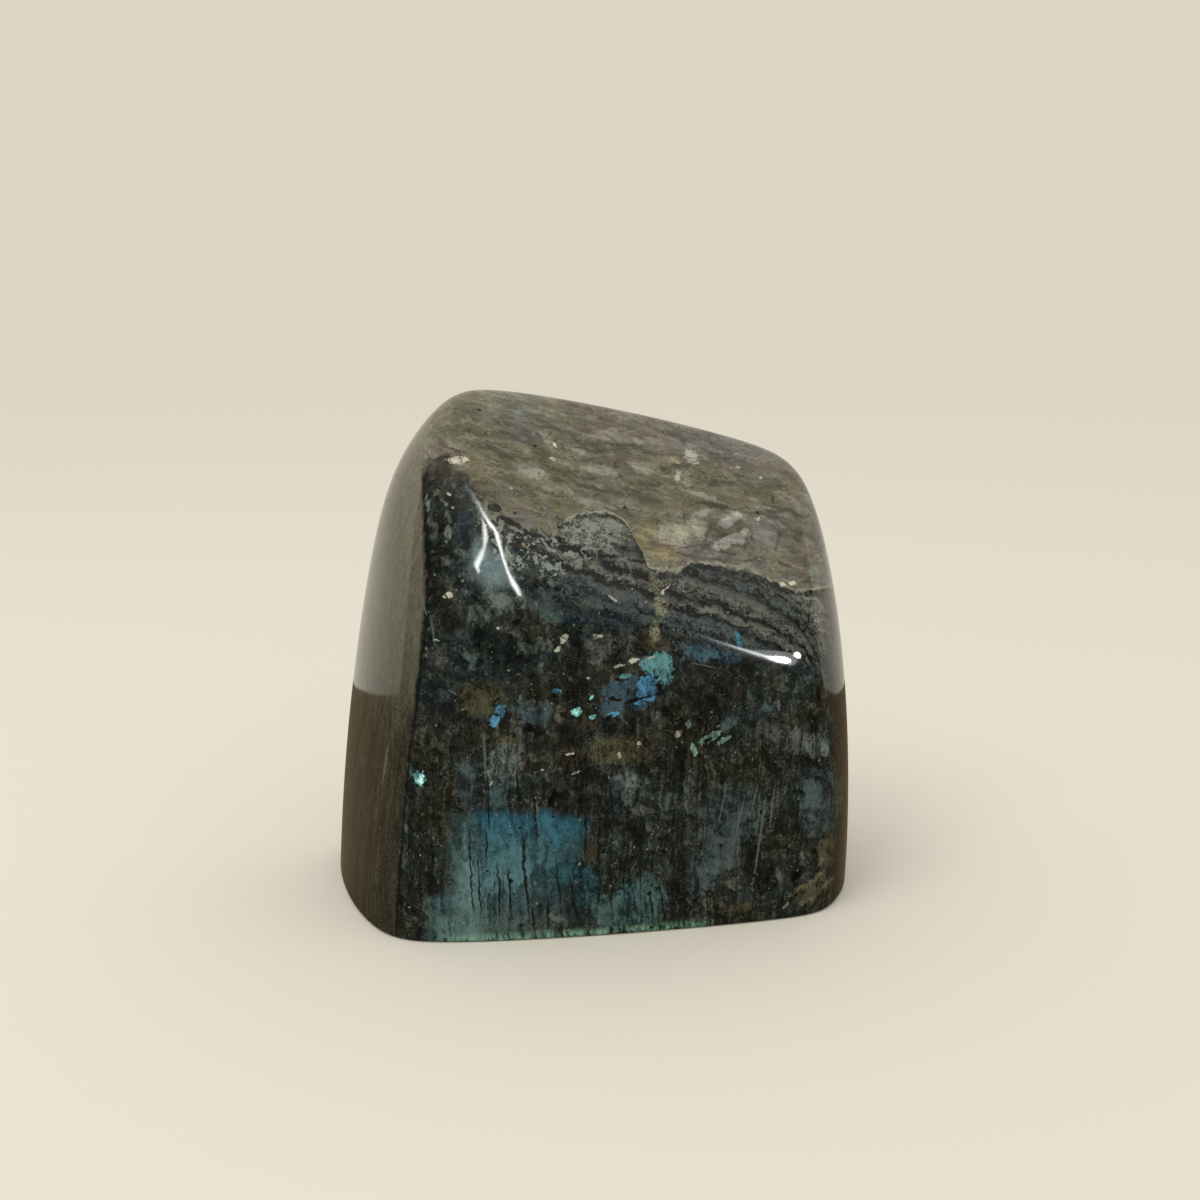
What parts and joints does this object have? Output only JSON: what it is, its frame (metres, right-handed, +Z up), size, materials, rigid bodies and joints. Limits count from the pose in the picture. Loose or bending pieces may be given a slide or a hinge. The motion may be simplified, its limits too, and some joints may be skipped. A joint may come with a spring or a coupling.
{
  "type": "labradorite freeform",
  "caption": "Palm-sized labradorite freeform: a dark stone ground to soft faces, polished all over, that stands on its flat sawn base.",
  "frame": {"origin": "middle of the base's bounding rectangle, in the plane that the stone rests on", "axes": "+X to the right along the broad front, +Y from the front to the back, +Z up; the front faces -Y"},
  "size_m": [0.1352, 0.079, 0.13],
  "materials": {
    "labradorite": "polished"
  },
  "bodies": {
    "root": {"stone": "labradorite"}
  },
  "joints": []
}
